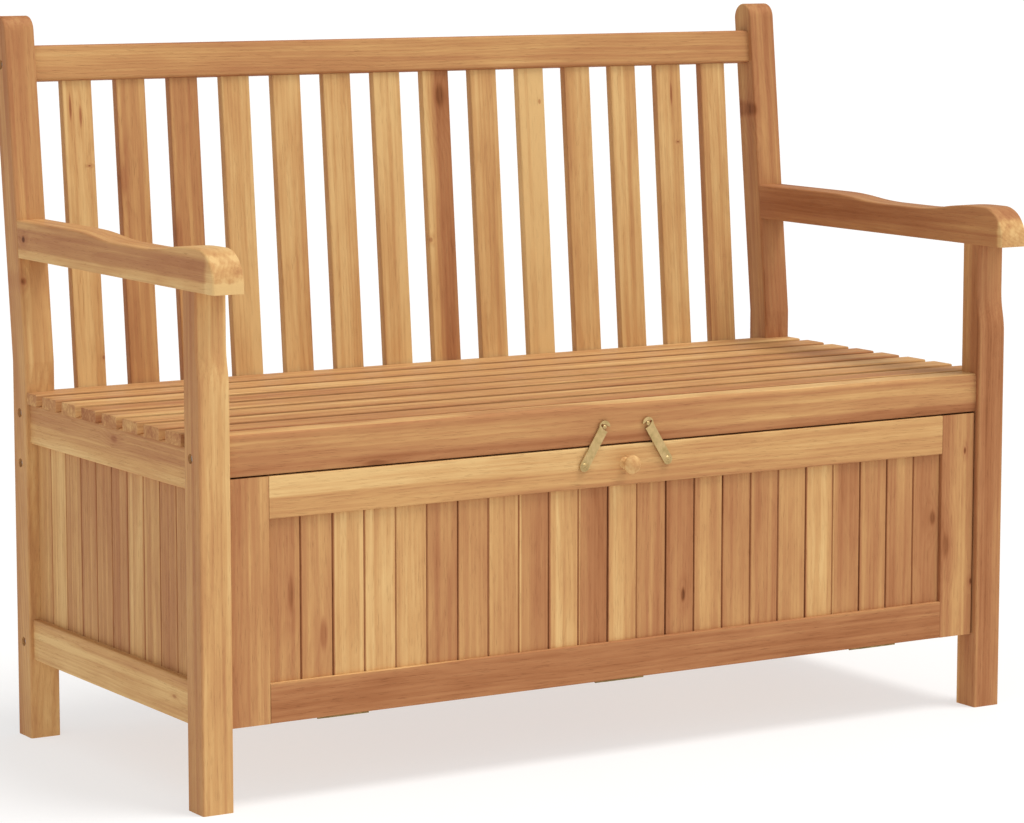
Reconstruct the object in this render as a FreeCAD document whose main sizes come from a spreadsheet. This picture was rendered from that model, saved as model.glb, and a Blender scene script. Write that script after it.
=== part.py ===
import FreeCAD, Part
import math
import os
import re
import Sketcher

# Slatted wooden garden bench with a storage box under its seat.  The box is closed by a
# drop-front panel on three butt hinges, held shut by two brass swing hooks.
# X runs along the bench, Y from front to back, Z up; the origin is on the ground under
# the middle of the whole bench.  All sizes are millimetres.

SIZES = [
    # whole bench and posts
    ("length", 1200, "over the outer faces of the posts"),
    ("front_y", -267.7, "front face of the front posts"),
    ("post_wide", 41, "posts, across the bench"),
    ("post_deep", 40, "posts, front to back"),
    ("post_round", 2.5, "rounding of the posts' long edges"),
    ("back_post_y", 491, "front face of the back posts behind front_y"),
    ("back_post_high", 930, "top of the back posts"),
    ("rake_start", 490, "height where the back posts lean back"),
    ("rake_slope", 0.107, "lean of the back posts"),
    ("front_post_high", 624, "front posts under the arms"),
    ("cove_start", 504, "lower end of the front posts' cove"),
    ("cove_end", 562, "upper end of the cove"),
    ("cove_deep", 7, "set-back above the cove"),
    # arms
    ("arm_nose", 40.5, "arms in front of the posts"),
    ("arm_high", 48, "arm thickness at the back"),
    ("arm_waist", 40.7, "arm thickness at the dip"),
    ("arm_crest", 51, "arm thickness over the front post"),
    ("arm_nose_round", 41, "radius of the arm's nose"),
    ("arm_crest_end", 60.5, "back end of the crest, from the nose"),
    ("arm_dip_front", 190.5, "front end of the dip, from the nose"),
    ("arm_dip_back", 255.5, "back end of the dip, from the nose"),
    ("arm_flat_front", 385.5, "front end of the back flat, from the nose"),
    ("arm_round", 3, "rounding of the arm's top edges"),
    ("arm_tenon_wide", 20, "post tenon in the arm, across"),
    ("arm_tenon_deep", 20, "post tenon in the arm, front to back"),
    ("arm_tenon_high", 20, "post tenon in the arm, height"),
    ("arm_end_tenon", 12, "arm tenon in the back post, length and width"),
    ("arm_end_tenon_high", 30, "arm tenon in the back post, height"),
    # joints of the wooden frame
    ("gap", 0.1, "play on each side of a tenon or tongue"),
    ("side_tenon", 12, "side rail tenons, length"),
    ("tenon_thick", 10, "tenons of rails"),
    ("tenon_shoulder", 5, "shoulder above and below a rail tenon"),
    ("groove_deep", 5, "board ends and edges in their grooves"),
    ("board_thick", 10, "tongued boards"),
    ("rail_round", 2, "rounding of rails and slats"),
    # back
    ("top_rail_z", 845.5, "bottom of the top rail"),
    ("top_rail_high", 46, "top rail"),
    ("top_rail_deep", 24, "top rail"),
    ("top_rail_round", 4, "rounding of the top rail"),
    ("slat_count", 14, "back slats"),
    ("slat_pitch", 76.62, "back slats, centre to centre"),
    ("slat_wide", 41.7, "back slats"),
    ("slat_thick", 13, "back slats"),
    ("slat_slope", 0.0866, "lean of the back slats"),
    ("slat_foot_y", 505.9, "slat's front face at its foot, behind front_y"),
    ("slat_foot_z", 427.5, "slat's foot"),
    ("slat_long", 429, "back slats with both ends in their mortises"),
    ("slat_play", 0.5, "play round a slat in its mortise"),
    ("low_rail_y", 496, "back rails behind front_y"),
    ("low_rail_deep", 30, "back rails"),
    ("low_rail_z", 400, "bottom of the lower back rail"),
    ("low_rail_high", 37, "lower back rail"),
    ("slat_mortise", 12, "mortises for the back slats"),
    # seat
    ("seat_rail_y", 8, "seat front rail behind front_y"),
    ("seat_rail_deep", 32, "seat front rail"),
    ("seat_rail_z", 401.5, "bottom of the seat front rail"),
    ("seat_rail_high", 50.5, "seat front rail"),
    ("seat_rail_round", 5, "top front edge of the seat front rail"),
    ("stop_lip_deep", 11.7, "lip behind the panel, front to back"),
    ("stop_lip_high", 10.5, "lip behind the panel, below the rail"),
    ("seat_z", 437, "underside of the seat slats"),
    ("seat_thick", 15, "seat slats"),
    ("seat_slat_count", 8, "seat slats"),
    ("seat_slat_y", 51.3, "front edge of the first seat slat behind front_y"),
    ("seat_slat_wide", 41, "seat slats"),
    ("seat_slat_last", 43.3, "rearmost seat slat"),
    ("seat_pitch", 58.6, "seat slats, centre to centre"),
    ("seat_long", 1197, "seat slats"),
    ("bearer_x", 200, "seat bearers either side of the middle"),
    ("bearer_wide", 30, "seat bearers"),
    ("bearer_high", 51, "seat bearers"),
    ("bearer_tenon", 10, "seat bearers in the seat front rail"),
    # sides
    ("side_rail_wide", 30, "side rails"),
    ("side_rail_high", 51, "upper side rail"),
    ("side_low_z", 103, "bottom of the lower side rail"),
    ("side_low_high", 53, "lower side rail"),
    ("side_pitch", 44.64, "side boards"),
    ("side_board_count", 10, "side boards, each side"),
    ("side_joint_y", 451.2, "rearmost joint of the side boards behind front_y"),
    # box
    ("box_z", 100, "bottom of the box, its panel and its rails"),
    ("box_rail_high", 50, "back and front bottom rails"),
    ("back_top_z", 334, "bottom of the back panel's top rail"),
    ("back_board_count", 26, "back boards"),
    ("front_rail_y", 29, "front bottom rail behind front_y"),
    ("front_rail_deep", 20, "front bottom rail"),
    ("front_tenon_thick", 7, "front bottom rail's tenon"),
    ("front_tenon_inset", 1.5, "tenon behind the front bottom rail's face"),
    ("front_tenon_high", 30, "front bottom rail's tenon"),
    ("floor_count", 10, "floor boards"),
    ("floor_pitch", 112, "floor boards, centre to centre"),
    ("floor_wide", 110, "floor boards"),
    ("floor_thick", 12, "floor boards"),
    # drop-front panel
    ("panel_play", 1.5, "gap between the panel and each post"),
    ("panel_y", 8, "panel behind front_y"),
    ("panel_thick", 20, "panel frame"),
    ("panel_high", 299.5, "panel frame"),
    ("panel_round", 1.5, "rounding of the panel frame"),
    ("stile_wide", 53.5, "panel stiles"),
    ("panel_top_high", 51.5, "panel top rail"),
    ("panel_low_high", 49, "panel bottom rail"),
    ("panel_tenon", 25, "panel rail tenons"),
    ("panel_inset", 5, "boards behind the frame's face"),
    ("panel_board_count", 23, "panel boards"),
    ("board_gap", 0.2, "between neighbouring boards"),
    ("vee", 1.6, "bevel on each side of a board joint"),
    ("tongue_long", 4, "board tongues"),
    ("tongue_thick", 3, "board tongues"),
    ("tongue_play", 0.2, "play round a tongue"),
    # bolts
    ("bolt", 6, "bolt shank"),
    ("bolt_hole", 6.6, "clearance hole"),
    ("bolt_long", 70, "bolt shank, length"),
    ("bolt_head", 10, "bolt head, diameter"),
    ("bolt_head_high", 6, "bolt head"),
    ("bolt_key", 5, "hexagon in the bolt head, across flats"),
    ("sink", 12, "counterbore, diameter"),
    ("sink_deep", 10, "counterbore, depth"),
    ("bolt_hole_end", 45, "bolt hole in the end of a rail"),
    ("nut_inset", 30, "barrel nut from the end of a rail"),
    ("nut", 10, "barrel nut"),
    ("nut_hole", 10.2, "cross hole for the barrel nut"),
    ("nut_long", 14, "barrel nut"),
    ("seat_bolt_z", 426, "bolt in the seat front rail"),
    ("low_bolt_z", 424, "bolt in the lower back rail"),
    ("back_top_bolt_z", 359, "bolt in the back panel's top rail"),
    ("back_low_bolt_z", 125, "bolt in the back panel's bottom rail"),
    # screws
    ("screw", 4, "screw shank"),
    ("screw_head", 7.5, "countersunk head"),
    ("screw_head_high", 1.5, "countersunk head"),
    ("bearer_screw_drop", 5, "bearer screws below the middle of the lower back rail"),
    ("floor_screw_long", 32, "floor board screws"),
    ("bearer_screw_long", 60, "screws into the ends of the bearers"),
    ("bearer_screw_gap", 14, "between the two screws of a bearer"),
    ("leaf_screw_long", 18, "hinge screws"),
    # hinges
    ("hinge_x", 400, "outer hinges either side of the middle"),
    ("hinge_y", 28.5, "hinge axis behind front_y"),
    ("hinge_z", 96.7, "hinge axis above the ground"),
    ("barrel", 6, "hinge barrel"),
    ("pin", 3, "hinge pin"),
    ("pin_play", 0.05, "radial play round the pin"),
    ("leaf_long", 60, "hinge leaf"),
    ("leaf_deep", 20, "hinge leaf from its axis"),
    ("leaf_thick", 1.5, "hinge leaf"),
    ("leaf_clear", 3.7, "leaf plate from the axis beside the other barrels"),
    ("knuckles", 5, "barrels along one hinge"),
    ("knuckle_gap", 0.3, "between neighbouring barrels"),
    ("leaf_hole", 36, "between the two screws of a leaf"),
    ("leaf_screw_y", 12, "leaf screws from the axis"),
    # knob
    ("knob_z", 376, "knob's axis above the ground"),
    ("knob_head", 24, "knob, diameter"),
    ("knob_long", 25.5, "knob in front of the panel"),
    ("knob_cap", 12, "head of the knob, front to back"),
    ("knob_shoulder", 19.2, "back of the knob's head, diameter"),
    ("knob_cheek", 20.6, "edge of the knob's dome, diameter"),
    ("knob_dome_high", 5, "dome of the knob"),
    ("knob_waist_round", 9.2, "hollow behind the knob's head"),
    ("knob_side_round", 4.1, "rounded side of the knob's head"),
    ("knob_foot", 15, "knob's foot, diameter"),
    ("knob_spigot", 8, "spigot in the panel"),
    ("knob_spigot_long", 14, "spigot in the panel"),
    # swing hooks
    ("hook_x", 62.5, "hook pivots either side of the middle"),
    ("hook_z", 376.5, "hook pivots above the ground"),
    ("hook_lean", 32, "lean of the hooks towards the middle, degrees"),
    ("hook_long", 56.5, "pivot to catch"),
    ("hook_wide", 13, "hook bar"),
    ("hook_eye", 16, "rounded head of the hook"),
    ("hook_thick", 2, "hook bar"),
    ("hook_y", 4, "hook's front face behind front_y"),
    ("hook_hole", 4.1, "pivot hole"),
    ("catch_mouth", 7.2, "mouth of the catch"),
    ("catch_seat", 3.8, "narrow seat of the catch"),
    ("catch_reach", 4.5, "seat beyond the middle of the head"),
    ("keeper", 3, "keeper's shank"),
    ("keeper_head", 5.4, "keeper's head"),
    ("keeper_head_high", 1.4, "keeper's head"),
    ("pivot_head", 9, "pivot screw's head"),
    ("pivot_head_high", 2, "pivot screw's head"),
    ("washer", 10, "washer behind the hook"),
    ("face_gap", 0.1, "hook to washer and to screw head"),
    ("hook_screw_deep", 14, "hook screws in the wood"),
]
NAMES = {name for name, value, note in SIZES}
SIDES = {"left": -1, "right": 1}

doc = FreeCAD.newDocument("storage_bench")
sheet = doc.addObject("Spreadsheet::Sheet", "Sizes")
for row, (name, value, note) in enumerate(SIZES, start=1):
    sheet.set(f"A{row}", note)
    sheet.set(f"B{row}", str(value))
    sheet.setAlias(f"B{row}", name)
doc.recompute()


def bound(text):
    """An expression in which every size name points at its cell."""
    word = re.compile(r"[a-z_]+")
    return word.sub(lambda m: "Sizes." + m.group() if m.group() in NAMES else m.group(), str(text))


def size(name):
    """A size read from its cell."""
    return float(sheet.get(name))


def origin_plane(body, role):
    return [item for item in body.Origin.OriginFeatures if item.Role == role][0]


def new_body(label, place):
    """A body with its own label, placed by three expressions."""
    body = doc.addObject("PartDesign::Body", label)
    body.Label = label
    for axis, text in zip("xyz", place):
        body.setExpression("Placement.Base." + axis, bound(text))
    return body


def lean_back(body, slope):
    """Turn a body about X so that its top leans back by slope."""
    body.Placement = FreeCAD.Placement(FreeCAD.Vector(), FreeCAD.Rotation(FreeCAD.Vector(-1, 0, 0), 5))
    body.setExpression("Placement.Rotation.Angle", bound(f"atan({slope})"))


def new_sketch(body, role, offset):
    """A sketch on one of the body's origin planes, shifted by three expressions."""
    sketch = body.newObject("Sketcher::SketchObject", body.Name + "_sketch")
    sketch.AttachmentSupport = [(origin_plane(body, role), "")]
    sketch.MapMode = "FlatFace"
    for axis, text in zip("xyz", offset):
        sketch.setExpression("AttachmentOffset.Base." + axis, bound(text))
    return sketch


def limit(sketch, name, constraint, text):
    """Add a constraint whose value follows the sheet."""
    index = sketch.addConstraint(constraint)
    sketch.renameConstraint(index, name)
    sketch.setExpression("Constraints." + name, bound(text))


def rule(sketch, *words):
    sketch.addConstraint(Sketcher.Constraint(*words))


def line(sketch, start, end):
    return sketch.addGeometry(Part.LineSegment(FreeCAD.Vector(*start, 0), FreeCAD.Vector(*end, 0)))


def arc(sketch, centre, radius, first, last):
    """A counter-clockwise arc between two angles in degrees."""
    circle = Part.Circle(FreeCAD.Vector(*centre, 0), FreeCAD.Vector(0, 0, 1), radius)
    return sketch.addGeometry(Part.ArcOfCircle(circle, math.radians(first), math.radians(last)))


def rectangle(sketch, wide, high):
    """A rectangle from the sketch's origin to (wide, high)."""
    corners = [(0, 0), (10, 0), (10, 10), (0, 10)]
    for index, corner in enumerate(corners):
        line(sketch, corner, corners[(index + 1) % 4])
    for index in range(4):
        rule(sketch, "Coincident", index, 2, (index + 1) % 4, 1)
    for index in (0, 2):
        rule(sketch, "Horizontal", index)
        rule(sketch, "Vertical", index + 1)
    rule(sketch, "Coincident", 0, 1, -1, 1)
    limit(sketch, "wide", Sketcher.Constraint("DistanceX", 0, 1, 0, 2, 10), wide)
    limit(sketch, "high", Sketcher.Constraint("DistanceY", 1, 1, 1, 2, 10), high)


def extrude(body, kind, sketch, length, forward=True):
    """A Pad or Pocket of the sketch, forward along its normal."""
    feature = body.newObject("PartDesign::" + kind, body.Name + "_" + kind.lower())
    feature.Profile = sketch
    feature.Reversed = forward == (kind == "Pocket")
    feature.setExpression("Length", bound(length))
    sketch.Visibility = False
    return feature


def block(body, kind, corner, extent):
    """A square-edged Pad or Pocket from its lowest corner."""
    sketch = new_sketch(body, "XY_Plane", corner)
    rectangle(sketch, extent[0], extent[1])
    return extrude(body, kind, sketch, extent[2])


def drill(body, axis, start, diameter, depth, kind="Pocket"):
    """A round hole, or a round peg, from start along +axis."""
    x, y, z = start
    role, offset = {
        "x": ("YZ_Plane", (y, z, x)),
        "y": ("XZ_Plane", (x, z, f"-({y})")),
        "z": ("XY_Plane", (x, y, z)),
    }[axis]
    sketch = new_sketch(body, role, offset)
    sketch.addGeometry(Part.Circle(FreeCAD.Vector(), FreeCAD.Vector(0, 0, 1), 5))
    rule(sketch, "Coincident", 0, 3, -1, 1)
    limit(sketch, "across", Sketcher.Constraint("Diameter", 0, 10), diameter)
    return extrude(body, kind, sketch, depth, forward=axis != "y")


def repeat_along_x(body, feature, count, length):
    pattern = body.newObject("PartDesign::LinearPattern", body.Name + "_pattern")
    pattern.Originals = [feature]
    pattern.Direction = (origin_plane(body, "X_Axis"), [""])
    pattern.setExpression("Length", bound(length))
    pattern.setExpression("Occurrences", bound(count))
    body.Tip = pattern


def round_edges(body, radius, chosen):
    """Fillet the edges of the body so far that chosen() picks."""
    doc.recompute()
    base = body.Tip
    names = [f"Edge{i}" for i, edge in enumerate(base.Shape.Edges, start=1) if chosen(edge)]
    fillet = body.newObject("PartDesign::Fillet", body.Name + "_fillet")
    fillet.Base = (base, names)
    fillet.setExpression("Radius", bound(radius))


def runs_along(axis):
    """Picks straight edges parallel to an axis, 0 to 2."""
    def chosen(edge):
        ends = [vertex.Point for vertex in edge.Vertexes]
        return len(ends) == 2 and edge.Length - abs(ends[1][axis] - ends[0][axis]) < 0.001
    return chosen


def on_side_faces(wide, skip):
    """Picks the edges lying in x = 0 and x = wide, but for those that skip() names."""
    def chosen(edge):
        box = edge.BoundBox
        flat = box.XLength < 0.001 and min(abs(box.XMin), abs(box.XMin - wide)) < 0.001
        return flat and not skip(box)
    return chosen


def from_outside(side, depth, reach):
    """Where an interval measured from a post's outer face starts in the post's own X."""
    return depth if side == "left" else f"post_wide - ({depth}) - ({reach})"


def side_x(side, inner):
    """Expression for a distance from the middle of the bench, on one side."""
    return f"-({inner})" if side == "left" else inner


def solid_group(label, shapes):
    """Several separate solids of one kind in one object."""
    group = doc.addObject("Part::Feature", label)
    group.Label = label
    group.Shape = Part.makeCompound(shapes)
    group.Placement = FreeCAD.Placement()
    return group


INNER = "(length / 2 - post_wide)"
RAKE = "atan(rake_slope)"
RAIL_MIDDLE = "(length / 2 - post_wide / 2)"
TOP_BOLT_Z = f"(top_rail_z + top_rail_high / 2 * cos({RAKE}))"


def post_joints(body, face_y, inward):
    """Mortises and board groove that both posts of one side take, in the face at face_y."""
    def cut(deep, thick, z, high):
        y = face_y if inward > 0 else f"{face_y} - ({deep})"
        block(body, "Pocket", (f"(post_wide - ({thick})) / 2", y, z), (thick, deep, high))

    thick = "tenon_thick + 2 * gap"
    for bottom, high in (("side_low_z", "side_low_high"), ("seat_z - side_rail_high", "side_rail_high")):
        tenon_high = f"{high} - 2 * tenon_shoulder + 2 * gap"
        cut("side_tenon + gap", thick, f"{bottom} + tenon_shoulder - gap", tenon_high)
    groove_z = "side_low_z + side_low_high - groove_deep"
    groove_high = f"seat_z - side_rail_high + groove_deep - ({groove_z})"
    cut("groove_deep + gap", "board_thick + 2 * gap", groove_z, groove_high)


def bolt_through(side, body, y, z):
    """Counterbored bolt hole across a post from its outer face."""
    drill(body, "x", (0, y, z), "bolt_hole", "post_wide")
    drill(body, "x", (from_outside(side, "0", "sink_deep"), y, z), "sink", "sink_deep")


def front_post(side):
    name = f"front_{side}_post"
    x = "-length / 2" if side == "left" else INNER
    body = new_body(name, (x, "front_y", 0))
    sketch = new_sketch(body, "YZ_Plane", (0, 0, 0))
    deep, high = size("post_deep"), size("front_post_high")
    start, end, cove = size("cove_start"), size("cove_end"), size("cove_deep")
    radius = ((end - start) ** 2 + cove ** 2) / (4 * cove)
    bend = math.degrees(math.asin((end - start) / (2 * radius)))
    line(sketch, (0, 0), (deep, 0))
    line(sketch, (deep, 0), (deep, high))
    line(sketch, (deep, high), (cove, high))
    line(sketch, (cove, high), (cove, end))
    arc(sketch, (cove - radius, end), radius, -bend, 0)
    arc(sketch, (radius, start), radius, 180 - bend, 180)
    line(sketch, (0, start), (0, 0))
    for first, second in ((0, 1), (1, 2), (2, 3)):
        rule(sketch, "Coincident", first, 2, second, 1)
    for join in ((3, 2, 4, 2), (4, 1, 5, 1), (5, 2, 6, 1)):
        rule(sketch, "Tangent", *join)
    rule(sketch, "Equal", 4, 5)
    rule(sketch, "Coincident", 6, 2, 0, 1)
    rule(sketch, "Coincident", 0, 1, -1, 1)
    for index in (0, 2):
        rule(sketch, "Horizontal", index)
    for index in (1, 3, 6):
        rule(sketch, "Vertical", index)
    limit(sketch, "deep", Sketcher.Constraint("DistanceX", 0, 1, 0, 2, deep), "post_deep")
    limit(sketch, "high", Sketcher.Constraint("DistanceY", 1, 1, 1, 2, high), "front_post_high")
    limit(sketch, "cove", Sketcher.Constraint("DistanceX", 0, 1, 2, 2, cove), "cove_deep")
    limit(sketch, "start", Sketcher.Constraint("DistanceY", 0, 1, 6, 1, start), "cove_start")
    limit(sketch, "end", Sketcher.Constraint("DistanceY", 0, 1, 3, 2, end), "cove_end")
    extrude(body, "Pad", sketch, "post_wide")
    round_edges(body, "post_round", on_side_faces(size("post_wide"), lambda box: box.ZLength < 0.001))

    tenon_y = "(post_deep + cove_deep - arm_tenon_deep) / 2"
    corner = ("(post_wide - arm_tenon_wide) / 2", tenon_y, "front_post_high")
    block(body, "Pad", corner, ("arm_tenon_wide", "arm_tenon_deep", "arm_tenon_high"))
    post_joints(body, "post_deep", -1)
    bolt_through(side, body, "seat_rail_y + seat_rail_deep / 2", "seat_bolt_z")
    long = "side_tenon + gap"
    corner = (
        from_outside(side, f"post_wide - ({long})", long),
        "front_rail_y + front_tenon_inset - gap",
        "box_z + (box_rail_high - front_tenon_high) / 2 - gap",
    )
    block(body, "Pocket", corner, (long, "front_tenon_thick + 2 * gap", "front_tenon_high + 2 * gap"))


def back_post(side):
    """A post that is upright to rake_start, then leans back to a half-round top."""
    name = f"back_{side}_post"
    x = "-length / 2" if side == "left" else INNER
    body = new_body(name, (x, "front_y + back_post_y", 0))
    sketch = new_sketch(body, "YZ_Plane", (0, 0, 0))
    deep, kink, slope = size("post_deep"), size("rake_start"), size("rake_slope")
    rake = math.atan(slope)
    radius = deep * math.cos(rake) / 2
    centre_z = size("back_post_high") - radius
    centre_y = deep / 2 + slope * (centre_z - kink)
    across = (radius * math.cos(rake), radius * math.sin(rake))
    back_top = (centre_y + across[0], centre_z - across[1])
    front_top = (centre_y - across[0], centre_z + across[1])
    line(sketch, (0, 0), (deep, 0))
    line(sketch, (deep, 0), (deep, kink))
    line(sketch, (deep, kink), back_top)
    arc(sketch, (centre_y, centre_z), radius, -math.degrees(rake), 180 - math.degrees(rake))
    line(sketch, front_top, (0, kink))
    line(sketch, (0, kink), (0, 0))
    for first, second in ((0, 1), (1, 2), (4, 5), (5, 0)):
        rule(sketch, "Coincident", first, 2, second, 1)
    rule(sketch, "Tangent", 2, 2, 3, 1)
    rule(sketch, "Tangent", 3, 2, 4, 1)
    rule(sketch, "Coincident", 0, 1, -1, 1)
    rule(sketch, "Horizontal", 0)
    rule(sketch, "Vertical", 1)
    rule(sketch, "Vertical", 5)
    rule(sketch, "Parallel", 2, 4)
    limit(sketch, "deep", Sketcher.Constraint("DistanceX", 0, 1, 0, 2, deep), "post_deep")
    limit(sketch, "kink", Sketcher.Constraint("DistanceY", 0, 1, 1, 2, kink), "rake_start")
    limit(sketch, "front_kink", Sketcher.Constraint("DistanceY", 0, 1, 4, 2, kink), "rake_start")
    limit(sketch, "rake", Sketcher.Constraint("Angle", 1, 2, 2, 1, math.pi - rake), f"180 deg - {RAKE}")
    top = f"back_post_high - post_deep / 2 * cos({RAKE})"
    limit(sketch, "top", Sketcher.Constraint("DistanceY", 0, 1, 3, 3, centre_z), top)
    extrude(body, "Pad", sketch, "post_wide")
    round_edges(body, "post_round", on_side_faces(size("post_wide"), lambda box: box.ZLength < 0.001))

    post_joints(body, "0", 1)
    corner = (
        "(post_wide - arm_end_tenon) / 2 - gap",
        "0",
        "front_post_high + (arm_high - arm_end_tenon_high) / 2 - gap",
    )
    reach = "arm_end_tenon + rake_slope * (front_post_high + arm_high / 2 - rake_start) + gap"
    block(body, "Pocket", corner, ("arm_end_tenon + 2 * gap", reach, "arm_end_tenon_high + 2 * gap"))
    for height in ("back_low_bolt_z", "back_top_bolt_z", "low_bolt_z"):
        bolt_through(side, body, "post_deep / 2", height)
    bolt_through(side, body, f"post_deep / 2 + rake_slope * ({TOP_BOLT_Z} - rake_start)", TOP_BOLT_Z)


def arm(side):
    """An arm with a rounded nose, a crest over the front post and a dip behind it."""
    x = "-length / 2" if side == "left" else INNER
    body = new_body(f"{side}_arm", (x, "front_y - arm_nose", "front_post_high"))
    sketch = new_sketch(body, "YZ_Plane", (0, 0, 0))
    high, waist, crest = size("arm_high"), size("arm_waist"), size("arm_crest")
    nose, crest_end = size("arm_nose_round"), size("arm_crest_end")
    dip_front, dip_back, flat = size("arm_dip_front"), size("arm_dip_back"), size("arm_flat_front")
    slope = size("rake_slope")
    foot = size("arm_nose") + size("back_post_y") + slope * (size("front_post_high") - size("rake_start"))

    def ease(run, rise):
        """Radius and half angle of two equal arcs that step up by rise over run."""
        radius = (run ** 2 / 4 + rise ** 2 / 4) / rise
        return radius, math.degrees(math.asin(run / 2 / radius))

    line(sketch, (0, 0), (foot, 0))
    line(sketch, (foot, 0), (foot + slope * high, high))
    line(sketch, (foot + slope * high, high), (flat, high))
    radius, half = ease(flat - dip_back, high - waist)
    arc(sketch, (flat, high - radius), radius, 90, 90 + half)
    arc(sketch, (dip_back, waist + radius), radius, 270, 270 + half)
    line(sketch, (dip_back, waist), (dip_front, waist))
    radius, half = ease(dip_front - crest_end, crest - waist)
    arc(sketch, (dip_front, waist + radius), radius, 270 - half, 270)
    arc(sketch, (crest_end, crest - radius), radius, 90 - half, 90)
    line(sketch, (crest_end, crest), (nose, crest))
    arc(sketch, (nose, crest - nose), nose, 90, 180)
    line(sketch, (0, crest - nose), (0, 0))
    rule(sketch, "Coincident", 0, 1, -1, 1)
    rule(sketch, "Coincident", 0, 2, 1, 1)
    rule(sketch, "Coincident", 1, 2, 2, 1)
    rule(sketch, "Coincident", 10, 2, 0, 1)
    dip_joins = ((2, 2, 3, 1), (3, 2, 4, 2), (4, 1, 5, 1), (5, 2, 6, 2), (6, 1, 7, 1))
    nose_joins = ((7, 2, 8, 1), (8, 2, 9, 1), (9, 2, 10, 1))
    for join in dip_joins + nose_joins:
        rule(sketch, "Tangent", *join)
    for index in (0, 2, 5, 8):
        rule(sketch, "Horizontal", index)
    rule(sketch, "Vertical", 10)
    rule(sketch, "Equal", 3, 4)
    rule(sketch, "Equal", 6, 7)
    foot_text = "arm_nose + back_post_y + rake_slope * (front_post_high - rake_start)"
    limit(sketch, "foot", Sketcher.Constraint("DistanceX", 0, 1, 0, 2, foot), foot_text)
    limit(sketch, "lean", Sketcher.Constraint("DistanceX", 1, 1, 1, 2, slope * high), "rake_slope * arm_high")
    limit(sketch, "high", Sketcher.Constraint("DistanceY", 1, 1, 1, 2, high), "arm_high")
    limit(sketch, "flat", Sketcher.Constraint("DistanceX", 0, 1, 2, 2, flat), "arm_flat_front")
    limit(sketch, "dip_back", Sketcher.Constraint("DistanceX", 0, 1, 5, 1, dip_back), "arm_dip_back")
    limit(sketch, "dip_front", Sketcher.Constraint("DistanceX", 0, 1, 5, 2, dip_front), "arm_dip_front")
    limit(sketch, "waist", Sketcher.Constraint("DistanceY", 0, 1, 5, 1, waist), "arm_waist")
    limit(sketch, "crest_end", Sketcher.Constraint("DistanceX", 0, 1, 8, 1, crest_end), "arm_crest_end")
    limit(sketch, "crest", Sketcher.Constraint("DistanceY", 0, 1, 8, 1, crest), "arm_crest")
    limit(sketch, "nose", Sketcher.Constraint("Radius", 9, nose), "arm_nose_round")
    extrude(body, "Pad", sketch, "post_wide")
    rear = size("arm_nose") + size("back_post_y")
    skip = lambda box: box.ZMax < 0.001 or box.YMin > rear
    round_edges(body, "arm_round", on_side_faces(size("post_wide"), skip))

    tenon_y = "arm_nose + (post_deep + cove_deep - arm_tenon_deep) / 2 - gap"
    corner = ("(post_wide - arm_tenon_wide) / 2 - gap", tenon_y, 0)
    extent = ("arm_tenon_wide + 2 * gap", "arm_tenon_deep + 2 * gap", "arm_tenon_high + gap")
    block(body, "Pocket", corner, extent)
    start = "arm_nose + back_post_y"
    corner = ("(post_wide - arm_end_tenon) / 2", start, "(arm_high - arm_end_tenon_high) / 2")
    reach = "arm_end_tenon + rake_slope * (front_post_high + arm_high / 2 - rake_start)"
    block(body, "Pad", corner, ("arm_end_tenon", reach, "arm_end_tenon_high"))


def bolted_ends(body, y, z, deep):
    """Bolt holes in both ends of a long rail, and cross holes for the barrel nuts from its back."""
    cross = f"({deep} + nut_long) / 2 + 5 * gap"
    for side in SIDES:
        start = f"-{INNER}" if side == "left" else f"{INNER} - bolt_hole_end"
        drill(body, "x", (start, y, z), "bolt_hole", "bolt_hole_end")
        x = side_x(side, f"{INNER} - nut_inset")
        drill(body, "y", (x, f"{deep} - ({cross})", z), "nut_hole", cross)


def long_rail(label, place, deep, high, radius):
    """A rail between the inner faces of the posts, centred on x = 0."""
    body = new_body(label, place)
    block(body, "Pad", (f"-{INNER}", 0, 0), (f"2 * {INNER}", deep, high))
    round_edges(body, radius, runs_along(0))
    return body


def top_back_rail():
    middle = f"front_y + back_post_y + post_deep / 2 + rake_slope * (top_rail_z - rake_start)"
    half = "top_rail_deep / 2"
    place = (0, f"{middle} - {half} * cos({RAKE})", f"top_rail_z + {half} * sin({RAKE})")
    body = long_rail("top_back_rail", place, "top_rail_deep", "top_rail_high", "top_rail_round")
    lean_back(body, "rake_slope")
    bolted_ends(body, "top_rail_deep / 2", "top_rail_high / 2", "top_rail_deep")
    slat_front = "slat_foot_y + slat_slope * (top_rail_z - slat_foot_z)"
    rail_front = "back_post_y + post_deep / 2 + rake_slope * (top_rail_z - rake_start) - top_rail_deep / 2"
    corner = ("-slat_pitch * (slat_count - 1) / 2 - slat_wide / 2 - slat_play / 2",
              f"{slat_front} - ({rail_front}) - slat_play", 0)
    extent = ("slat_wide + slat_play", "slat_thick + 2 * slat_play", "slat_mortise")
    pocket = block(body, "Pocket", corner, extent)
    repeat_along_x(body, pocket, "slat_count", "slat_pitch * (slat_count - 1)")


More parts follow.
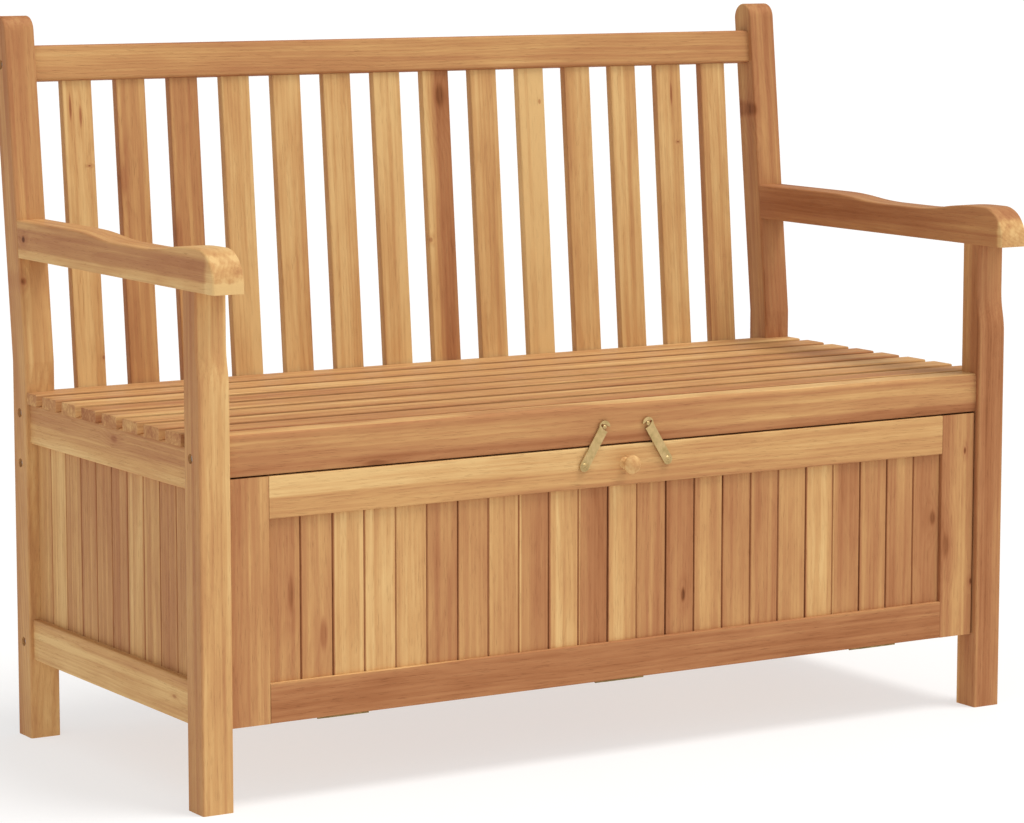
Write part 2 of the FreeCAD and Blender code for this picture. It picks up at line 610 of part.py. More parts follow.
def lower_back_rail():
    place = (0, "front_y + low_rail_y", "low_rail_z")
    body = long_rail("lower_back_rail", place, "low_rail_deep", "low_rail_high", "rail_round")
    bolted_ends(body, "low_rail_deep / 2", "low_bolt_z - low_rail_z", "low_rail_deep")
    corner = ("-slat_pitch * (slat_count - 1) / 2 - slat_wide / 2 - slat_play / 2",
              "slat_foot_y - low_rail_y - slat_play", "low_rail_high - slat_mortise")
    deep = "slat_thick + slat_slope * slat_mortise + 2 * slat_play"
    pocket = block(body, "Pocket", corner, ("slat_wide + slat_play", deep, "slat_mortise"))
    repeat_along_x(body, pocket, "slat_count", "slat_pitch * (slat_count - 1)")
    for side in SIDES:
        for step in (-0.5, 0.5):
            x = side_x(side, "bearer_x")
            z = f"low_rail_high / 2 - bearer_screw_drop + bearer_screw_gap * {step}"
            drill(body, "y", (x, 0, z), "screw + 2 * gap", "low_rail_deep")
            head = "screw_head_high + gap"
            drill(body, "y", (x, f"low_rail_deep - ({head})", z), "screw_head + 2 * gap", head)


def back_slat(index):
    x = f"slat_pitch * ({index} - (slat_count - 1) / 2) - slat_wide / 2"
    body = new_body(f"back_slat_{index + 1:02d}", (x, "front_y + slat_foot_y", "slat_foot_z"))
    lean_back(body, "slat_slope")
    block(body, "Pad", (0, 0, 0), ("slat_wide", "slat_thick", "slat_long"))
    round_edges(body, "rail_round", runs_along(2))


def seat_front_rail():
    """The rail under the seat's front edge, with the lip that the panel closes against."""
    body = new_body("seat_front_rail", (0, "front_y + seat_rail_y", "seat_rail_z"))
    block(body, "Pad", (f"-{INNER}", 0, 0), (f"2 * {INNER}", "seat_rail_deep", "seat_rail_high"))
    high = size("seat_rail_high")

    def front_edge(z):
        return lambda edge: edge.BoundBox.YMax < 0.001 and abs(edge.BoundBox.Center.z - z) < 0.001

    round_edges(body, "seat_rail_round", front_edge(high))
    round_edges(body, "rail_round", front_edge(0))
    lip = (f"-{INNER}", "seat_rail_deep - stop_lip_deep", "-stop_lip_high")
    block(body, "Pad", lip, (f"2 * {INNER}", "stop_lip_deep", "stop_lip_high"))
    bolted_ends(body, "seat_rail_deep / 2", "seat_bolt_z - seat_rail_z", "seat_rail_deep")
    for side in SIDES:
        corner = (
            f"{side_x(side, 'bearer_x')} - tenon_thick / 2 - gap",
            "seat_rail_deep - bearer_tenon - gap",
            "seat_z - bearer_high / 2 - side_tenon - gap - seat_rail_z",
        )
        extent = ("tenon_thick + 2 * gap", "bearer_tenon + gap", "2 * side_tenon + 2 * gap")
        block(body, "Pocket", corner, extent)
        keeper_x = side_x(side, "hook_x - hook_long * sin(hook_lean * 1 deg)")
        keeper_z = "hook_z + hook_long * cos(hook_lean * 1 deg) - seat_rail_z"
        drill(body, "y", (keeper_x, 0, keeper_z), "keeper", "hook_screw_deep")


def seat_slat(index):
    last = size("seat_slat_count") - 1
    wide = "seat_slat_last" if index == last else "seat_slat_wide"
    place = ("-seat_long / 2", f"front_y + seat_slat_y + seat_pitch * {index}", "seat_z")
    body = new_body(f"seat_slat_{index + 1}", place)
    block(body, "Pad", (0, 0, 0), ("seat_long", wide, "seat_thick"))
    round_edges(body, "rail_round", runs_along(0))
    if index == last:
        notch = f"seat_long / 2 - {INNER} + gap"
        y = f"back_post_y - seat_slat_y - seat_pitch * {index} - 5 * gap"
        for x in ("0", f"seat_long - ({notch})"):
            block(body, "Pocket", (x, y, 0), (notch, f"{wide} - ({y})", "seat_thick"))


def side_rail(side, level):
    """A side rail tenoned into both posts and grooved for the side boards."""
    bottom, high = {
        "upper": ("seat_z - side_rail_high", "side_rail_high"),
        "lower": ("side_low_z", "side_low_high"),
    }[level]
    x = f"{side_x(side, RAIL_MIDDLE)} - side_rail_wide / 2"
    body = new_body(f"{side}_{level}_side_rail", (x, "front_y + post_deep", bottom))
    run = "back_post_y - post_deep"
    block(body, "Pad", (0, 0, 0), ("side_rail_wide", run, high))
    round_edges(body, "rail_round", runs_along(1))
    corner = ("(side_rail_wide - tenon_thick) / 2", "-side_tenon", "tenon_shoulder")
    block(body, "Pad", corner, ("tenon_thick", f"{run} + 2 * side_tenon", f"{high} - 2 * tenon_shoulder"))
    z = "0" if level == "upper" else f"{high} - groove_deep - gap"
    corner = ("(side_rail_wide - board_thick) / 2 - gap", "0", z)
    block(body, "Pocket", corner, ("board_thick + 2 * gap", run, "groove_deep + gap"))


def back_panel_rail(level):
    z = "back_top_z" if level == "top" else "box_z"
    label = f"back_panel_{level}_rail"
    body = long_rail(label, (0, "front_y + low_rail_y", z), "low_rail_deep", "box_rail_high", "rail_round")
    bolt_z = "back_top_bolt_z" if level == "top" else "back_low_bolt_z"
    bolted_ends(body, "low_rail_deep / 2", f"{bolt_z} - {z}", "low_rail_deep")
    groove_z = "0" if level == "top" else "box_rail_high - groove_deep - gap"
    corner = (f"-{INNER}", "(low_rail_deep - board_thick) / 2 - gap", groove_z)
    block(body, "Pocket", corner, (f"2 * {INNER}", "board_thick + 2 * gap", "groove_deep + gap"))
    if level == "bottom":
        floor_screw_holes(body, "board_thick / 2")


def floor_screw_holes(body, y):
    """Pilot holes in the top of a bottom rail, one under each floor board."""
    x = "-floor_pitch * (floor_count - 1) / 2"
    depth = "floor_screw_long - floor_thick + gap"
    hole = drill(body, "z", (x, y, f"box_rail_high - ({depth})"), "screw", depth)
    repeat_along_x(body, hole, "floor_count", "floor_pitch * (floor_count - 1)")


def leaf_screw_holes(body, y):
    """Pilot holes for the hinge screws, from below."""
    for hinge in ("-hinge_x", "0", "hinge_x"):
        for step in (-0.5, 0.5):
            drill(body, "z", (f"{hinge} + leaf_hole * {step}", y, 0), "screw", "leaf_screw_long")


def front_bottom_rail():
    place = (0, "front_y + front_rail_y", "box_z")
    body = long_rail("front_bottom_rail", place, "front_rail_deep", "box_rail_high", "rail_round / 2")
    corner = (f"-{INNER} - side_tenon", "front_tenon_inset", "(box_rail_high - front_tenon_high) / 2")
    block(body, "Pad", corner, (f"2 * {INNER} + 2 * side_tenon", "front_tenon_thick", "front_tenon_high"))
    floor_screw_holes(body, "front_rail_deep / 2")
    leaf_screw_holes(body, "hinge_y + leaf_screw_y - front_rail_y")


def box_shape(low, high):
    """A block between two opposite corners."""
    extent = [b - a for a, b in zip(low, high)]
    return Part.makeBox(*extent, FreeCAD.Vector(*low))


def rod(diameter, start, end):
    """A round bar between two points."""
    start, end = FreeCAD.Vector(*start), FreeCAD.Vector(*end)
    return Part.makeCylinder(diameter / 2, (end - start).Length, start, end - start)


def seat_bearers():
    front = size("front_y")
    y0 = front + size("seat_rail_y") + size("seat_rail_deep")
    y1 = front + size("low_rail_y")
    z0, z1 = size("seat_z") - size("bearer_high"), size("seat_z")
    middle = (z0 + z1) / 2
    pieces = []
    for sign in SIDES.values():
        x = sign * size("bearer_x")
        half, thin = size("bearer_wide") / 2, size("tenon_thick") / 2
        bar = box_shape((x - half, y0, z0), (x + half, y1, z1))
        tenon = box_shape((x - thin, y0 - size("bearer_tenon"), middle - size("side_tenon")),
                          (x + thin, y0, middle + size("side_tenon")))
        bearer = bar.fuse(tenon).removeSplitter()
        for point in bearer_screw_points(sign):
            tip = (point[0], y1 + size("low_rail_deep") - size("bearer_screw_long"), point[2])
            bearer = bearer.cut(rod(size("screw"), tip, (point[0], y1, point[2])))
        pieces.append(bearer)
    solid_group("seat_bearers", pieces)


def bearer_screw_points(sign):
    """Where the two screws enter the back of the lower back rail, behind one bearer."""
    y = size("front_y") + size("low_rail_y") + size("low_rail_deep")
    middle = size("low_rail_z") + size("low_rail_high") / 2 - size("bearer_screw_drop")
    half = size("bearer_screw_gap") / 2
    return [(sign * size("bearer_x"), y, middle + step * half) for step in (-1, 1)]


def tongued_boards(joints, low, high, to_point):
    """Boards between neighbouring joints, each with a tongue, a groove and bevelled face edges.

    to_point turns (distance along the run, depth behind the show face) into x and y."""
    thick, vee, gap = size("board_thick"), size("vee"), size("board_gap") / 2
    long, half, play = size("tongue_long"), size("tongue_thick") / 2, size("tongue_play")
    boards = []
    last = len(joints) - 2
    for index, (start, end) in enumerate(zip(joints, joints[1:])):
        a = start + (gap if index else 0)
        b = end - (gap if index < last else 0)
        low_bevel = [(a, vee), (a + vee, 0)] if index else [(a, 0)]
        high_bevel = [(b - vee, 0), (b, vee)] if index < last else [(b, 0)]
        outline = low_bevel + high_bevel
        if index < last:
            middle = thick / 2
            outline += [(b, middle - half), (b + long, middle - half)]
            outline += [(b + long, middle + half), (b, middle + half)]
        outline += [(b, thick), (a, thick)]
        if index:
            wide, deep = half + play, long + play + gap
            middle = thick / 2
            outline += [(a, middle + wide), (a + deep, middle + wide)]
            outline += [(a + deep, middle - wide), (a, middle - wide)]
        points = [FreeCAD.Vector(*to_point(u, v), low) for u, v in outline]
        face = Part.Face(Part.makePolygon(points + points[:1]))
        boards.append(face.extrude(FreeCAD.Vector(0, 0, high - low)))
    return boards


def even_joints(end, count, extra):
    """Joints of count equal boards between -end and end, the outer two wider by extra."""
    pitch = 2 * end / count
    joints = [pitch * index - end for index in range(int(count) + 1)]
    joints[0] -= extra
    joints[-1] += extra
    return joints


def side_boards(side):
    front, deep = size("front_y"), size("groove_deep")
    between = range(int(size("side_board_count")) - 2, -1, -1)
    joints = [front + size("side_joint_y") - size("side_pitch") * k for k in between]
    joints = [front + size("post_deep") - deep] + joints + [front + size("back_post_y") + deep]
    sign = SIDES[side]
    face = size("length") / 2 - size("post_wide") / 2 + size("board_thick") / 2
    low = size("side_low_z") + size("side_low_high") - deep
    high = size("seat_z") - size("side_rail_high") + deep
    solid_group(f"{side}_side_boards", tongued_boards(joints, low, high, lambda u, v: (sign * (face - v), u)))


def back_panel_boards():
    face = size("front_y") + size("low_rail_y") + (size("low_rail_deep") + size("board_thick")) / 2
    joints = even_joints(size("length") / 2 - size("post_wide"), size("back_board_count"), 0)
    low = size("box_z") + size("box_rail_high") - size("groove_deep")
    high = size("back_top_z") + size("groove_deep")
    solid_group("back_panel_boards", tongued_boards(joints, low, high, lambda u, v: (u, face - v)))


def floor_boards():
    front = size("front_y")
    y0 = front + size("front_rail_y")
    y1 = front + size("low_rail_y") + (size("low_rail_deep") - size("board_thick")) / 2 - 5 * size("gap")
    z0 = size("box_z") + size("box_rail_high")
    z1 = z0 + size("floor_thick")
    boards = []
    for x in floor_middles():
        board = box_shape((x - size("floor_wide") / 2, y0, z0), (x + size("floor_wide") / 2, y1, z1))
        for y in floor_screw_rows():
            board = board.cut(screw_shape((x, y, z1), (0, 0, -1), size("floor_screw_long"), 2 * size("gap")))
        boards.append(board)
    solid_group("floor_boards", boards)


def floor_middles():
    count = int(size("floor_count"))
    return [size("floor_pitch") * (index - (count - 1) / 2) for index in range(count)]


def floor_screw_rows():
    """Y of the screws into the front and back bottom rails."""
    front = size("front_y")
    return [front + size("front_rail_y") + size("front_rail_deep") / 2,
            front + size("low_rail_y") + size("board_thick") / 2]


def screw_shape(head, way, long, extra=0):
    """A countersunk screw from its head, or with extra the hole for it."""
    head, way = FreeCAD.Vector(*head), FreeCAD.Vector(*way)
    radius, shank, deep = size("screw_head") / 2, size("screw") / 2, size("screw_head_high")
    cone = Part.makeCone(radius + extra / 2, shank + extra / 2, deep, head, way)
    rest = Part.makeCylinder(shank + extra / 2, long - deep, head + way * deep, way)
    return cone.fuse(rest)


def bolt_points():
    """Outer end of each bolt's axis: side sign, y and z."""
    front = size("front_y")
    post_y = front + size("back_post_y") + size("post_deep") / 2
    lean = math.cos(math.atan(size("rake_slope")))
    top_z = size("top_rail_z") + size("top_rail_high") / 2 * lean
    spots = [
        (front + size("seat_rail_y") + size("seat_rail_deep") / 2, size("seat_bolt_z")),
        (post_y, size("low_bolt_z")),
        (post_y, size("back_top_bolt_z")),
        (post_y, size("back_low_bolt_z")),
        (post_y + size("rake_slope") * (top_z - size("rake_start")), top_z),
    ]
    return [(sign, y, z) for sign in SIDES.values() for y, z in spots]


def frame_bolts():
    """Hexagon socket bolts sunk into the outer faces of the posts."""
    bolts = []
    for sign, y, z in bolt_points():
        seat = sign * (size("length") / 2 - size("sink_deep"))
        head_end = seat + sign * size("bolt_head_high")
        head = rod(size("bolt_head"), (seat, y, z), (head_end, y, z))
        shank = rod(size("bolt"), (seat - sign * size("bolt_long"), y, z), (seat, y, z))
        across = size("bolt_key") / math.sqrt(3)
        turns = [math.radians(angle) for angle in range(0, 361, 60)]
        corners = [FreeCAD.Vector(head_end, y + across * math.cos(turn), z + across * math.sin(turn))
                   for turn in turns]
        deep = FreeCAD.Vector(-sign * size("bolt_head_high") / 2, 0, 0)
        socket = Part.Face(Part.makePolygon(corners)).extrude(deep)
        bolts.append(head.fuse(shank).removeSplitter().cut(socket))
    solid_group("frame_bolts", bolts)


def barrel_nuts():
    nuts = []
    rake = math.atan(size("rake_slope"))
    for sign, y, z in bolt_points():
        x = sign * (size("length") / 2 - size("post_wide") - size("nut_inset"))
        tilted = z > size("rake_start")
        way = FreeCAD.Vector(0, math.cos(rake), -math.sin(rake)) if tilted else FreeCAD.Vector(0, 1, 0)
        start = FreeCAD.Vector(x, y, z) - way * (size("nut_long") / 2)
        nut = Part.makeCylinder(size("nut") / 2, size("nut_long"), start, way)
        bore = rod(size("bolt") + size("gap"), (x - size("nut"), y, z), (x + size("nut"), y, z))
        nuts.append(nut.cut(bore))
    solid_group("barrel_nuts", nuts)


def hinge_middles():
    return [-size("hinge_x"), 0, size("hinge_x")]


def leaf_screw_points(sign):
    """Heads of the hinge screws, behind the axis for sign 1 and before it for sign -1."""
    y = size("front_y") + size("hinge_y") + sign * size("leaf_screw_y")
    z = size("box_z") - size("leaf_thick")
    half = size("leaf_hole") / 2
    return [(x + step * half, y, z) for x in hinge_middles() for step in (-1, 1)]


def frame_screws():
    top = size("box_z") + size("box_rail_high") + size("floor_thick")
    screws = []
    for x in floor_middles():
        for y in floor_screw_rows():
            screws.append(screw_shape((x, y, top), (0, 0, -1), size("floor_screw_long")))
    for sign in SIDES.values():
        for point in bearer_screw_points(sign):
            screws.append(screw_shape(point, (0, -1, 0), size("bearer_screw_long")))
    for point in leaf_screw_points(1):
        screws.append(screw_shape(point, (0, 0, 1), size("leaf_screw_long")))
    solid_group("frame_screws", screws)


def hinge_leaf(middle, sign):
    """One leaf under the wood, with every other barrel of the hinge."""
    axis_y, axis_z = size("front_y") + size("hinge_y"), size("hinge_z")
    low, high = size("box_z") - size("leaf_thick"), size("box_z")
    start = middle - size("leaf_long") / 2
    near, far = sorted((axis_y + sign * size("leaf_clear"), axis_y + sign * size("leaf_deep")))
    leaf = box_shape((start, near, low), (start + size("leaf_long"), far, high))
    count = int(size("knuckles"))
    step = size("leaf_long") / count
    for index in range(0 if sign > 0 else 1, count, 2):
        x0 = start + step * index + (size("knuckle_gap") / 2 if index else 0)
        x1 = start + step * (index + 1) - (size("knuckle_gap") / 2 if index < count - 1 else 0)
        barrel = rod(size("barrel"), (x0, axis_y, axis_z), (x1, axis_y, axis_z))
        front, back = sorted((axis_y, axis_y + sign * size("leaf_clear")))
        leaf = leaf.fuse(barrel).fuse(box_shape((x0, front, low), (x1, back, high)))
    bore = size("pin") + 2 * size("pin_play")
    leaf = leaf.cut(rod(bore, (start - 1, axis_y, axis_z), (start + size("leaf_long") + 1, axis_y, axis_z)))
    for point in leaf_screw_points(sign):
        if abs(point[0] - middle) < size("leaf_long"):
            leaf = leaf.cut(screw_shape(point, (0, 0, 1), size("leaf_screw_long"), 2 * size("gap")))
    return leaf.removeSplitter()


def hinges():
    solid_group("hinge_frame_leaves", [hinge_leaf(middle, 1) for middle in hinge_middles()])
    solid_group("hinge_door_leaves", [hinge_leaf(middle, -1) for middle in hinge_middles()])
    y, z = size("front_y") + size("hinge_y"), size("hinge_z")
    half = size("leaf_long") / 2
    pins = [rod(size("pin"), (x - half, y, z), (x + half, y, z)) for x in hinge_middles()]
    solid_group("hinge_pins", pins)
    screws = [screw_shape(point, (0, 0, 1), size("leaf_screw_long")) for point in leaf_screw_points(-1)]
    solid_group("panel_screws", screws)


PANEL_HALF = f"({INNER} - panel_play)"
STILE_INNER = f"({PANEL_HALF} - stile_wide)"


def panel_stile(side):
    x = f"-{PANEL_HALF}" if side == "left" else STILE_INNER
    body = new_body(f"front_panel_{side}_stile", (x, "front_y + panel_y", "box_z"))
    block(body, "Pad", (0, 0, 0), ("stile_wide", "panel_thick", "panel_high"))
    round_edges(body, "panel_round", runs_along(2))

    def cut(deep, z, high):
        x = f"stile_wide - ({deep})" if side == "left" else "0"
        block(body, "Pocket", (x, "panel_inset - gap", z), (deep, "board_thick + 2 * gap", high))

    opening = "panel_high - panel_top_high - panel_low_high"
    cut("groove_deep + gap", "panel_low_high - groove_deep", f"{opening} + 2 * groove_deep")
    cut("panel_tenon + gap", "tenon_shoulder - gap", "panel_low_high - 2 * tenon_shoulder + 2 * gap")
    top = "panel_high - panel_top_high + tenon_shoulder - gap"
    cut("panel_tenon + gap", top, "panel_top_high - 2 * tenon_shoulder + 2 * gap")


def panel_rail(level):
    z, high = {
        "top": ("box_z + panel_high - panel_top_high", "panel_top_high"),
        "bottom": ("box_z", "panel_low_high"),
    }[level]
    body = new_body(f"front_panel_{level}_rail", (0, "front_y + panel_y", z))
    block(body, "Pad", (f"-{STILE_INNER}", 0, 0), (f"2 * {STILE_INNER}", "panel_thick", high))
    round_edges(body, "panel_round", runs_along(0))
    corner = (f"-{STILE_INNER} - panel_tenon", "panel_inset", "tenon_shoulder")
    core = (f"2 * {STILE_INNER} + 2 * panel_tenon", "board_thick", f"{high} - 2 * tenon_shoulder")
    block(body, "Pad", corner, core)
    groove_z = "0" if level == "top" else f"{high} - groove_deep - gap"
    corner = (f"-{STILE_INNER}", "panel_inset - gap", groove_z)
    block(body, "Pocket", corner, (f"2 * {STILE_INNER}", "board_thick + 2 * gap", "groove_deep + gap"))
    if level == "bottom":
        leaf_screw_holes(body, "hinge_y - leaf_screw_y - panel_y")
        return
    drill(body, "y", (0, 0, f"knob_z - ({z})"), "knob_spigot", "knob_spigot_long + gap")
    for side in SIDES:
        drill(body, "y", (side_x(side, "hook_x"), 0, f"hook_z - ({z})"), "screw", "hook_screw_deep")


def front_panel_boards():
    face = size("front_y") + size("panel_y") + size("panel_inset")
    inner = size("length") / 2 - size("post_wide") - size("panel_play") - size("stile_wide")
    joints = even_joints(inner, size("panel_board_count"), size("groove_deep"))
    low = size("box_z") + size("panel_low_high") - size("groove_deep")
    high = size("box_z") + size("panel_high") - size("panel_top_high") + size("groove_deep")
    solid_group("front_panel_boards", tongued_boards(joints, low, high, lambda u, v: (u, face + v)))


def knob():
    """A turned knob, modelled along +Z and turned to point forward."""
    body = new_body("knob", (0, "front_y + panel_y", "knob_z"))
    body.Placement = FreeCAD.Placement(FreeCAD.Vector(), FreeCAD.Rotation(FreeCAD.Vector(1, 0, 0), 90))
    sketch = new_sketch(body, "XZ_Plane", (0, 0, 0))
    foot, head = size("knob_foot") / 2, size("knob_head") / 2
    spigot, depth, long = size("knob_spigot") / 2, size("knob_spigot_long"), size("knob_long")
    rim, shoulder = long - size("knob_cap"), size("knob_shoulder") / 2
    cheek, rise = size("knob_cheek") / 2, size("knob_dome_high")
    dome = (cheek ** 2 + rise ** 2) / (2 * rise)
    points = [(0, -depth), (spigot, -depth), (spigot, 0), (foot, 0)]
    for start, end in zip(points, points[1:]):
        line(sketch, start, end)
    waist = ((shoulder, rim), (spigot, rim / 2), (foot, 0))
    side = ((shoulder, rim), (head, (rim + long - rise) / 2), (cheek, long - rise))
    for bend in (waist, side):
        sketch.addGeometry(Part.Arc(*[FreeCAD.Vector(*point, 0) for point in bend]))
    arc(sketch, (0, long - dome), dome, math.degrees(math.asin((dome - rise) / dome)), 90)
    line(sketch, (0, long), (0, -depth))
    foot_joins = ((0, 2, 1, 1), (1, 2, 2, 1), (2, 2, 3, 2))
    head_joins = ((3, 1, 4, 1), (4, 2, 5, 1), (5, 2, 6, 1), (6, 2, 0, 1))
    for join in foot_joins + head_joins:
        rule(sketch, "Coincident", *join)
    for index, point in ((0, 1), (5, 2), (5, 3)):
        rule(sketch, "PointOnObject", index, point, -2)
    rule(sketch, "PointOnObject", 2, 1, -1)
    rule(sketch, "Vertical", 1)
    for index in (0, 2):
        rule(sketch, "Horizontal", index)
    limit(sketch, "spigot", Sketcher.Constraint("DistanceX", 0, 1, 0, 2, spigot), "knob_spigot / 2")
    limit(sketch, "depth", Sketcher.Constraint("DistanceY", 1, 1, 1, 2, depth), "knob_spigot_long")
    limit(sketch, "foot", Sketcher.Constraint("DistanceX", -1, 1, 2, 2, foot), "knob_foot / 2")
    limit(sketch, "rim", Sketcher.Constraint("DistanceY", -1, 1, 3, 1, rim), "knob_long - knob_cap")
    limit(sketch, "shoulder", Sketcher.Constraint("DistanceX", -1, 1, 3, 1, shoulder), "knob_shoulder / 2")
    limit(sketch, "waist", Sketcher.Constraint("Radius", 3, size("knob_waist_round")), "knob_waist_round")
    limit(sketch, "side", Sketcher.Constraint("Radius", 4, size("knob_side_round")), "knob_side_round")
    limit(sketch, "cheek", Sketcher.Constraint("DistanceX", -1, 1, 5, 1, cheek), "knob_cheek / 2")
    edge = Sketcher.Constraint("DistanceY", -1, 1, 5, 1, long - rise)
    limit(sketch, "dome", edge, "knob_long - knob_dome_high")
    limit(sketch, "long", Sketcher.Constraint("DistanceY", -1, 1, 5, 2, long), "knob_long")
    turned = body.newObject("PartDesign::Revolution", "knob_turned")
    turned.Profile = sketch
    turned.ReferenceAxis = (sketch, ["V_Axis"])
    turned.Angle = 360
    sketch.Visibility = False


def swing_hook(side):
    """A flat bar that turns on the panel and catches a keeper on the seat's front rail."""
    body = new_body(f"{side}_hook", (side_x(side, "hook_x"), "front_y + hook_y", "hook_z"))
    sign = SIDES[side]
    body.Placement = FreeCAD.Placement(FreeCAD.Vector(), FreeCAD.Rotation(FreeCAD.Vector(0, -sign, 0), 10))
    body.setExpression("Placement.Rotation.Angle", bound("hook_lean * 1 deg"))
    block(body, "Pad", ("-hook_wide / 2", 0, 0), ("hook_wide", "hook_thick", "hook_long"))
    drill(body, "y", (0, 0, 0), "hook_wide", "hook_thick", kind="Pad")
    drill(body, "y", (0, 0, "hook_long"), "hook_eye", "hook_thick", kind="Pad")
    drill(body, "y", (0, 0, 0), "hook_hole", "hook_thick")
    drill(body, "y", (0, 0, "hook_long"), "catch_mouth", "hook_thick")
    mouth = ("0" if side == "left" else "-hook_eye", 0, "hook_long - catch_mouth / 2")
    block(body, "Pocket", mouth, ("hook_eye", "hook_thick", "catch_mouth"))
    seat = ("-catch_reach" if side == "left" else "0", 0, "hook_long - catch_seat / 2")
    block(body, "Pocket", seat, ("catch_reach", "hook_thick", "catch_seat"))
    end_x = "-catch_reach" if side == "left" else "catch_reach"
    drill(body, "y", (end_x, 0, "hook_long"), "catch_seat", "hook_thick")


def domed_screw(x, z, shank, head, head_high, head_y):
    """A round-headed screw along +Y, its head ending at head_y."""
    front = size("front_y")
    wood = front + size("panel_y") + size("hook_screw_deep")
    low = head_y - head_high
    radius = (head ** 2 / 4 + head_high ** 2) / (2 * head_high)
    ball = Part.makeSphere(radius, FreeCAD.Vector(x, low + radius, z))
    disc = rod(head, (x, low, z), (x, head_y, z))
    slot = box_shape((x - head, low - 1, z - 0.4), (x + head, low + head_high * 0.35, z + 0.4))
    return ball.common(disc).fuse(rod(shank, (x, head_y, z), (x, wood, z))).cut(slot)


def hook_fittings():
    """Pivot screws with their washers on the panel, and keepers on the seat's front rail."""
    front, clear = size("front_y"), size("face_gap")
    lean, long = math.radians(size("hook_lean")), size("hook_long")
    pivot = (size("screw"), size("pivot_head"), size("pivot_head_high"))
    keeper = (size("keeper"), size("keeper_head"), size("keeper_head_high"))
    pivots, keepers = [], []
    for sign in SIDES.values():
        x, z = sign * size("hook_x"), size("hook_z")
        head_y = front + size("hook_y") - clear
        pivots.append(domed_screw(x, z, *pivot, head_y))
        near, far = front + size("hook_y") + size("hook_thick") + clear, front + size("panel_y")
        ring = rod(size("washer"), (x, near, z), (x, far, z))
        pivots.append(ring.cut(rod(size("screw") + size("gap"), (x, near - 1, z), (x, far + 1, z))))
        x -= sign * long * math.sin(lean)
        z += long * math.cos(lean)
        keepers.append(domed_screw(x, z, *keeper, head_y))
    solid_group("hook_screws", pivots)
    solid_group("hook_keepers", keepers)


for side in SIDES:
    front_post(side)
    back_post(side)
    arm(side)
    side_rail(side, "upper")
    side_rail(side, "lower")
    side_boards(side)
    panel_stile(side)
    swing_hook(side)
top_back_rail()
lower_back_rail()
for index in range(int(size("slat_count"))):
    back_slat(index)
seat_front_rail()
for index in range(int(size("seat_slat_count"))):
    seat_slat(index)
for level in ("top", "bottom"):
    back_panel_rail(level)
    panel_rail(level)
back_panel_boards()
front_bottom_rail()
seat_bearers()
floor_boards()
front_panel_boards()
knob()
frame_bolts()
barrel_nuts()
frame_screws()
hinges()
hook_fittings()
doc.recompute()

for item in doc.Objects:
    if "Invalid" in item.State or "Error" in item.State:
        raise RuntimeError(f"{item.Label} failed: {item.State}")
    if item.TypeId == "Sketcher::SketchObject" and item.solve() != 0:
        raise RuntimeError(f"{item.Label} has conflicting constraints")
    if item.TypeId == "PartDesign::Pocket":
        if item.Shape.Volume > item.BaseFeature.Shape.Volume - 1:
            raise RuntimeError(f"{item.Label} cuts nothing")

os.makedirs("parts", exist_ok=True)
subparts = [item for item in doc.Objects if item.TypeId in ("PartDesign::Body", "Part::Feature")]
for item in subparts:
    if item.Shape.isNull() or not item.Shape.isValid():
        raise RuntimeError(f"{item.Label} has a bad shape")
for item in subparts:
    item.Shape.exportStep(f"parts/{item.Label}.step")
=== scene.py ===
import math
import random

import bpy
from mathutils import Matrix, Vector


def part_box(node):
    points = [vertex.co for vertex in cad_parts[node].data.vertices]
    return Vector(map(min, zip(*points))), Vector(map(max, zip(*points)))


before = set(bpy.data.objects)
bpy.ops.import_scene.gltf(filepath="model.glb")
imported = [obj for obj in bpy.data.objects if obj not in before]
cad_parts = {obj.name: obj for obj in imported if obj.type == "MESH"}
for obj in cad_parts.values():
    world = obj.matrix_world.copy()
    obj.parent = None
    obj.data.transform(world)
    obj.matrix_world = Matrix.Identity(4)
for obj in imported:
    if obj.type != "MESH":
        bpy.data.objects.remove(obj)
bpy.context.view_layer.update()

# Oiled acacia from pale sapwood to dark heartwood: tone over FULL_TONE, colour.
FULL_TONE = 1.6
WOOD_COLOURS = (
    (0.00, "dfb87e"),
    (0.20, "cd9e68"),
    (0.375, "bd8a5b"),
    (0.56, "af7850"),
    (0.72, "a16944"),
    (0.87, "875434"),
    (1.00, "663a23"),
)
# Brass and zinc-plated steel from bright to dull: dullness, colour.
BRASS_COLOURS = ((0.0, "e2c690"), (0.35, "cfb07a"), (0.7, "b09660"), (1.0, "7d6a42"))
STEEL_COLOURS = ((0.0, "e4e4e0"), (0.5, "c6c6c1"), (1.0, "8f8f89"))
# How far each part of the figure swings the tone of the wood, on each side of its base.
BLOTCH_SWING = 0.44
CLOUD_SWING = 0.24
BAND_SWING = 0.10
FIBRE_SWING = 0.12
# How much darker the wood is in its pores, at end grain, and in the joints between boards, where the dark
# line is dirt and painted shade in the V-grooves.
PORE_TONE = 0.12
JOINT_TONE = 0.65
END_TONE = 0.18
EDGE_TONE = -0.10
BUMP_DEPTH = 0.0003
AXES = "XYZ"
# For each grain direction: along the grain, then the two directions across it.
GRAIN_AXES = {"x": (0, 2, 1), "y": (1, 2, 0), "z": (2, 0, 1)}


def linear(text):
    """An sRGB hex colour as linear RGBA."""
    values = [int(text[i:i + 2], 16) / 255 for i in (0, 2, 4)]
    return [v / 12.92 if v <= 0.04045 else ((v + 0.055) / 1.055) ** 2.4 for v in values] + [1.0]


